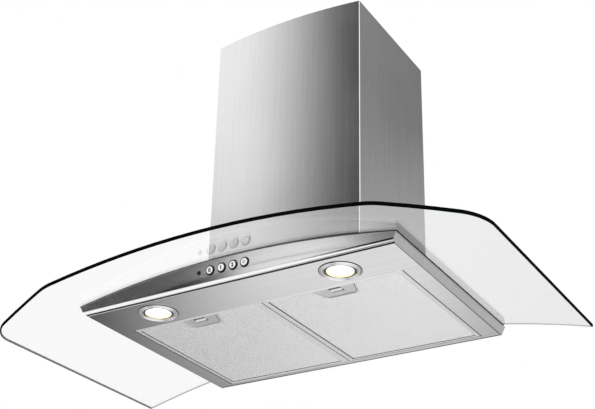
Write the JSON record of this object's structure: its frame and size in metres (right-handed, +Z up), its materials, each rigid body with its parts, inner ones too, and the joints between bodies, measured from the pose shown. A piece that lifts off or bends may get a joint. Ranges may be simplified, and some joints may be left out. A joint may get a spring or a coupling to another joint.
{
  "type": "curved glass range hood",
  "caption": "Wall range hood: arched glass visor on a slim steel body with lamps, push buttons and hinged grease filters, under a telescopic chimney that holds the fan.",
  "frame": {"origin": "centre of the rectangle of four wall screw holes, on the wall plane", "axes": "+X to the right seen from the front, +Y into the wall, +Z up"},
  "size_m": [0.9, 0.502, 0.6072],
  "materials": {
    "steel": "brushed",
    "glass": "polished toughened glass",
    "zinc": "galvanised sheet",
    "gasket": "matte",
    "aluminium": "satin",
    "mesh": "expanded mesh",
    "latch": "satin",
    "spring": "drawn wire",
    "chrome": "polished",
    "lamp_glass": "frosted",
    "reflector": "polished",
    "ceramic": "glazed",
    "button": "satin",
    "indicator": "tinted",
    "dark_plastic": "moulded",
    "board": "solder mask",
    "lead": "sheathed",
    "wheel_plastic": "moulded",
    "motor_paint": "satin",
    "fixings": "zinc plated",
    "outlet_plastic": "moulded"
  },
  "bodies": {
    "root": {"front_fascia": "steel", "underside_pan": "steel", "filter_divider": "steel", "chimney_lower": "steel", "glass_panel": "glass", "body_top": "zinc", "fan_box": "zinc", "chimney_clips": "zinc", "motor_bracket": "zinc", "glass_gasket": "gasket", "glass_washers": "gasket", "button_spring_1": "spring", "button_spring_2": "spring", "button_spring_3": "spring", "button_spring_4": "spring", "lamp_ring_left": "chrome", "lamp_ring_right": "chrome", "button_rings": "chrome", "glass_screws": "chrome", "lamp_lens_left": "lamp_glass", "lamp_lens_right": "lamp_glass", "lamp_bulb_left": "lamp_glass", "lamp_bulb_right": "lamp_glass", "lamp_reflector_left": "reflector", "lamp_reflector_right": "reflector", "lamp_socket_left": "ceramic", "lamp_socket_right": "ceramic", "indicator_lens": "indicator", "control_housing": "dark_plastic", "lamp_transformer": "dark_plastic", "terminal_box": "dark_plastic", "cable_gland": "dark_plastic", "fan_casing_left": "dark_plastic", "fan_casing_right": "dark_plastic", "control_board": "board", "lamp_leads": "lead", "motor": "motor_paint", "outlet_screws": "fixings", "flap_pins": "fixings", "outlet_collar": "outlet_plastic"},
    "filter_left": {"filter_frame_left": "aluminium", "filter_mesh_left": "mesh", "latch_tray_left": "aluminium", "latch_spring_left": "spring"},
    "latch_left": {"latch_slider_left": "latch"},
    "filter_right": {"filter_frame_right": "aluminium", "filter_mesh_right": "mesh", "latch_tray_right": "aluminium", "latch_spring_right": "spring"},
    "latch_right": {"latch_slider_right": "latch"},
    "button_1": {"button_1": "button"},
    "button_2": {"button_2": "button"},
    "button_3": {"button_3": "button"},
    "button_4": {"button_4": "button"},
    "fan_wheel": {"impeller": "wheel_plastic", "motor_shaft": "fixings"},
    "flap_front": {"damper_flap_front": "outlet_plastic"},
    "flap_rear": {"damper_flap_rear": "outlet_plastic"},
    "chimney_slide": {"chimney_upper": "steel", "ceiling_bracket": "zinc"}
  },
  "joints": [
    {"name": "filter_left_hinge", "type": "hinge", "parent": "root", "child": "filter_left", "pos_m": [-0.1305, -0.01315, -0.175], "axis": [1, 0, 0], "range_deg": [0, 75]},
    {"name": "latch_left_slide", "type": "slide", "parent": "filter_left", "child": "latch_left", "axis": [0, 1, 0], "range_m": [0, 0.005], "stiffness_N_per_m": 200, "springref_m": -0.002, "deforming": ["latch_spring_left"]},
    {"name": "filter_right_hinge", "type": "hinge", "parent": "root", "child": "filter_right", "pos_m": [0.1305, -0.01315, -0.175], "axis": [1, 0, 0], "range_deg": [0, 75]},
    {"name": "latch_right_slide", "type": "slide", "parent": "filter_right", "child": "latch_right", "axis": [0, 1, 0], "range_m": [0, 0.005], "stiffness_N_per_m": 200, "springref_m": -0.002, "deforming": ["latch_spring_right"]},
    {"name": "button_1_press", "type": "slide", "parent": "root", "child": "button_1", "axis": [0, 0.9938, 0.1115], "range_m": [0, 0.002], "stiffness_N_per_m": 200, "springref_m": -0.001, "deforming": ["button_spring_1"]},
    {"name": "button_2_press", "type": "slide", "parent": "root", "child": "button_2", "axis": [0, 0.9938, 0.1115], "range_m": [0, 0.002], "stiffness_N_per_m": 200, "springref_m": -0.001, "deforming": ["button_spring_2"]},
    {"name": "button_3_press", "type": "slide", "parent": "root", "child": "button_3", "axis": [0, 0.9938, 0.1115], "range_m": [0, 0.002], "stiffness_N_per_m": 200, "springref_m": -0.001, "deforming": ["button_spring_3"]},
    {"name": "button_4_press", "type": "slide", "parent": "root", "child": "button_4", "axis": [0, 0.9938, 0.1115], "range_m": [0, 0.002], "stiffness_N_per_m": 200, "springref_m": -0.001, "deforming": ["button_spring_4"]},
    {"name": "fan_spin", "type": "hinge", "parent": "root", "child": "fan_wheel", "pos_m": [0, -0.104, -0.023], "axis": [-1, 0, 0], "continuous": true},
    {"name": "flap_front_hinge", "type": "hinge", "parent": "root", "child": "flap_front", "pos_m": [0, -0.1466, 0.1693], "axis": [-1, 0, 0], "range_deg": [0, 75]},
    {"name": "flap_rear_hinge", "type": "hinge", "parent": "root", "child": "flap_rear", "pos_m": [0, -0.1374, 0.1693], "axis": [1, 0, 0], "range_deg": [0, 75]},
    {"name": "chimney_extend", "type": "slide", "parent": "root", "child": "chimney_slide", "axis": [0, 0, 1], "range_m": [0, 0.35]}
  ]
}
